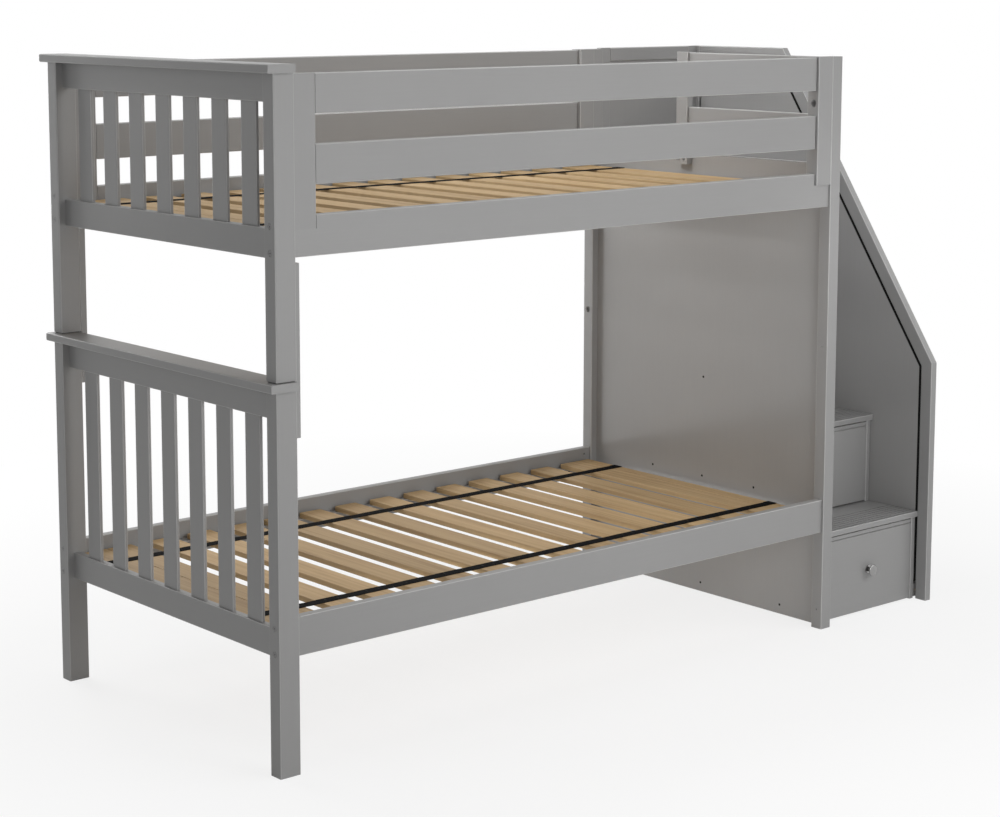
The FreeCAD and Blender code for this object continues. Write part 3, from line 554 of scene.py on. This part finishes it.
# The sheets take the paler grey, painted light for the brighter light on the panels
sheets = {
    "bed_side_panel": painted_wood("painted_sheet", lit_sheet_grey, **sheet_coat),
    "wall_panel": painted_wood("painted_field", lit_sheet_grey, **sheet_coat, shade_gap_axis="X"),
}
sheets["rear_wall_panel"] = sheets["bed_side_panel"]
board_slots = ("painted_wood", "pine_slat", "bare_wood")
shaded_faces = {
    "stair_treads": (in_groove, groove_shade),
    "upper_post_front": (in_seam, seam_shade),
    "upper_post_rear": (in_seam, seam_shade),
}
for part in frame["record"]["subparts"]:
    node_name = part["node"]
    node_slot = part["material_slot"]
    if node_slot in board_slots:
        mark_boards(node_name)
    if node_name in shaded_faces:
        mark_shade(node_name, *shaded_faces[node_name])
    node_materials = nodes[node_name].data.materials
    node_materials.clear()
    node_materials.append(sheets.get(node_name, materials[node_slot]))


# Pieces of the scene
def piece(name, mesh, slot, body="frame"):
    """Turns a bmesh into an object that rides on a body, with the finish of a slot."""
    bmesh.ops.recalc_face_normals(mesh, faces=mesh.faces)
    data = bpy.data.meshes.new(name)
    mesh.to_mesh(data)
    mesh.free()
    data.materials.append(materials[slot])
    made = bpy.data.objects.new(name, data)
    bpy.context.scene.collection.objects.link(made)
    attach(made, body)
    return made


def bridge(mesh, near, far):
    """Faces between two closed loops of as many vertices."""
    for index in range(len(near)):
        after = (index + 1) % len(near)
        mesh.faces.new((near[index], near[after], far[after], far[index]))


def loft(mesh, rings):
    """Skins a row of closed rings of points and closes both ends."""
    loops = [[mesh.verts.new(point) for point in ring] for ring in rings]
    for near, far in zip(loops, loops[1:]):
        bridge(mesh, near, far)
    mesh.faces.new(loops[0])
    mesh.faces.new(reversed(loops[-1]))


def strap_ring(x, z, low, high):
    """One cross-section of the webbing at x, lying on z: flat, with thicker rounded selvedges."""
    thick = high.z - low.z
    shape = ((0.0, selvedge_edge), (selvedge / 4, 1.0), (selvedge, weave_thickness))
    sides = [(low.y + inset, share) for inset, share in shape]
    sides += [(high.y - inset, share) for inset, share in reversed(shape)]
    upper = [(x, y, z + thick * share) for y, share in sides]
    lower = [(x, y, z) for y, share in reversed(sides[1:-1])]
    return upper + lower


def sag_at(x, gaps):
    """How far a strap hangs below the slats at x: only between two slats."""
    for start, end in gaps:
        if start < x < end:
            share = (x - start) / (end - start)
            return 4 * strap_sag * share * (1 - share)
    return 0.0


def strap(mesh, low, high, gaps):
    """One strap over the gaps between slats, hemmed at both ends."""
    count = round((high.x - low.x) / strap_step)
    places = [low.x + (high.x - low.x) * index / count for index in range(count + 1)]
    lie = low.z + strap_lift
    loft(mesh, [strap_ring(x, lie - sag_at(x, gaps), low, high) for x in places])
    thick = high.z - low.z
    for start, end in ((low.x, low.x + hem_length), (high.x - hem_length, high.x)):
        hem = (start, (start + end) / 2, end)
        loft(mesh, [strap_ring(x, lie + thick, low, high) for x in hem])


def staple(mesh, x, y, z):
    """A wire staple over the webbing, with its legs in the slat."""
    half = staple_crown / 2
    wire = staple_wire / 2
    shoulder = wire * staple_shoulder
    rise = wire * staple_rise
    inner = half - 2 * wire
    outline = [(-half, -staple_leg), (-half, shoulder), (-half + wire, rise), (half - wire, rise),
               (half, shoulder), (half, -staple_leg), (inner, -staple_leg), (inner, 0),
               (-inner, 0), (-inner, -staple_leg)]
    loft(mesh, [[(x + side, y + across, z + up) for across, up in outline] for side in (-wire, wire)])


def staple_row(mesh, low, high, slats):
    """Two staples through a strap into every slat, higher where the strap is doubled by its hems."""
    lie = low.z + strap_lift
    thick = high.z - low.z
    for slat_low, slat_high in slats:
        middle_x = (slat_low.x + slat_high.x) / 2
        apart = min(staple_spread, (slat_high.x - slat_low.x) / 2)
        for x in (middle_x - apart / 2, middle_x + apart / 2):
            doubled = x < low.x + hem_length or x > high.x - hem_length
            top = lie + thick * (2 if doubled else 1)
            if low.x < x < high.x:
                staple(mesh, x, (low.y + high.y) / 2, top)


def straps_and_staples():
    """Webbing over each slat deck, stapled to every slat."""
    straps = bmesh.new()
    staples = bmesh.new()
    strap_boxes = solid_boxes("slat_straps")
    for deck in ("lower_slats", "upper_slats"):
        slats = solid_boxes(deck)
        gaps = [(near[1].x, far[0].x) for near, far in zip(slats, slats[1:])]
        deck_top = max(high.z for low, high in slats)
        for low, high in strap_boxes:
            if abs(low.z - deck_top) <= deck_reach:
                strap(straps, low, high, gaps)
                staple_row(staples, low, high, slats)
    webbing_piece = piece("webbing_straps", straps, "black_webbing")
    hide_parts("slat_straps")
    piece("strap_staples", staples, "black_steel")


def screw_shape(mesh, head_radius, shank_radius, head_height, length, place):
    """A countersunk screw along +Z from the origin, with a cross recess in its head, put at a place."""
    arm, half = recess_arm, recess_half
    cross = [(arm, -half), (arm, half), (half, half), (half, arm), (-half, arm), (-half, half),
             (-arm, half), (-arm, -half), (-half, -half), (-half, -arm), (half, -arm), (half, -half)]
    made = []

    def ring(radius, z):
        turns = [2 * math.pi * index / screw_sides for index in range(screw_sides)]
        loop = [mesh.verts.new((radius * math.cos(turn), radius * math.sin(turn), z)) for turn in turns]
        made.extend(loop)
        return loop

    rim = ring(head_radius, 0)
    neck = ring(shank_radius, head_height)
    tip = ring(shank_radius, length - screw_tip * shank_radius)
    point = ring(shank_radius / screw_point, length)
    bridge(mesh, rim, neck)
    bridge(mesh, neck, tip)
    bridge(mesh, tip, point)
    mesh.faces.new(point)
    mouth = [mesh.verts.new((x, y, 0)) for x, y in cross]
    floor = [mesh.verts.new((x * recess_taper, y * recess_taper, recess_depth)) for x, y in cross]
    made.extend(mouth + floor)
    bridge(mesh, mouth, floor)
    mesh.faces.new(floor)
    border = [mesh.edges.get((loop[index - 1], loop[index])) for loop in (rim, mouth)
              for index in range(len(loop))]
    bmesh.ops.triangle_fill(mesh, edges=border, use_beauty=True)
    bmesh.ops.transform(mesh, matrix=place, verts=made)


def screws():
    """Countersunk screws with cross recesses, one over each plain screw."""
    mesh = bmesh.new()
    vertices = nodes["wood_screws"].data.vertices
    for group in solids("wood_screws"):
        points = [vertices[number].co for number in group]
        low, high = box_of(points)
        size = high - low
        middle = (low + high) / 2
        axis = max(range(3), key=lambda number: size[number])
        across = [number for number in range(3) if number != axis]

        def reach(end):
            close = [point for point in points if abs(point[axis] - end) < hair]
            return max((point - middle)[across[0]] for point in close)

        ends = sorted((low[axis], high[axis]), key=reach)
        head_radius, shank_radius = reach(ends[1]), reach(ends[0])
        head = middle.copy()
        head[axis] = ends[1]
        along = Vector((0, 0, 0))
        along[axis] = math.copysign(1, ends[0] - ends[1])
        turn = along.to_track_quat("Z", "Y").to_matrix().to_4x4()
        spin = Matrix.Rotation(chance.uniform(0, math.pi / 2), 4, "Z")
        place = Matrix.Translation(head) @ turn @ spin
        screw_shape(mesh, head_radius, shank_radius, head_radius - shank_radius, size[axis], place)
    made = piece("cross_screws", mesh, "black_steel")
    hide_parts("wood_screws")


straps_and_staples()
screws()


# Floor, light and camera
def seen_directly(shader):
    """1 for rays from the camera and for what gloss or glass shows, else 0."""
    path = shader.node("LightPath").outputs
    gloss = shader.math("MAXIMUM", path["Is Glossy Ray"], path["Is Transmission Ray"])
    return shader.math("MAXIMUM", path["Is Camera Ray"], gloss)


def studio_floor():
    """A pale floor that keeps a soft shadow near the bed and is plain white farther out."""
    shader = Shader("studio_floor", Roughness=0.9, Specular_IOR_Level=0.1)
    shader.surface.inputs["Base Color"].default_value = opaque(floor_white)
    glow = shader.node("Emission", {"Color": opaque(white), "Strength": 1.0}).outputs["Emission"]
    place = shader.node("NewGeometry").outputs["Position"]
    away = shader.node("VectorMath", {0: place}, operation="LENGTH").outputs["Value"]
    plain = shader.spread(away, floor_glow, 1.0, shadow_near, shadow_far)
    share = shader.math("MULTIPLY", seen_directly(shader), plain)
    matte = shader.surface.outputs["BSDF"]
    mix = shader.node("MixShader", {"Fac": share, 1: matte, 2: glow})
    output = [node for node in shader.tree.nodes if node.type == "OUTPUT_MATERIAL"][0]
    shader.feed(output.inputs["Surface"], mix.outputs["Shader"])
    bpy.ops.mesh.primitive_plane_add(size=floor_size, location=(0, 0, -floor_drop))
    plane = bpy.context.object
    plane.name = "floor"
    plane.data.materials.append(shader.material)


class WorldShader(Shader):
    """The same helper on the world's node tree."""

    def __init__(self):
        world = bpy.data.worlds.new("studio")
        world.use_nodes = True
        bpy.context.scene.world = world
        self.tree = world.node_tree
        self.surface = self.tree.nodes["Background"]


def studio_world(strength):
    """White light of a strength from all sides, seen as plain white."""
    shader = WorldShader()
    shader.surface.inputs["Color"].default_value = opaque(white)
    level = shader.spread(seen_directly(shader), strength, 1.0)
    shader.feed(shader.surface.inputs["Strength"], level)


def lamp(name, place, aim, size, power, cone):
    """A square soft lamp that points at a spot and lights a cone, in degrees."""
    data = bpy.data.lights.new(name, "AREA")
    data.shape = "SQUARE"
    data.size = size
    data.energy = power
    data.spread = math.radians(cone)
    made = bpy.data.objects.new(name, data)
    made.location = place
    made.rotation_euler = (Vector(aim) - Vector(place)).to_track_quat("-Z", "Y").to_euler()
    bpy.context.scene.collection.objects.link(made)


def studio_camera():
    """The camera at the photograph's place, with its heading, tilt and lens."""
    data = bpy.data.cameras.new("camera")
    data.sensor_width = camera_sensor
    data.lens = camera_lens
    data.shift_x, data.shift_y = camera_shift
    made = bpy.data.objects.new("camera", data)
    made.location = camera_eye
    made.rotation_euler = (math.radians(90 - camera_tilt), 0, math.radians(-camera_heading))
    bpy.context.scene.collection.objects.link(made)
    bpy.context.scene.camera = made


studio_floor()
studio_world(world_light)
for settings in lamps:
    lamp(*settings)
studio_camera()
bpy.context.scene.view_settings.view_transform = "Standard"
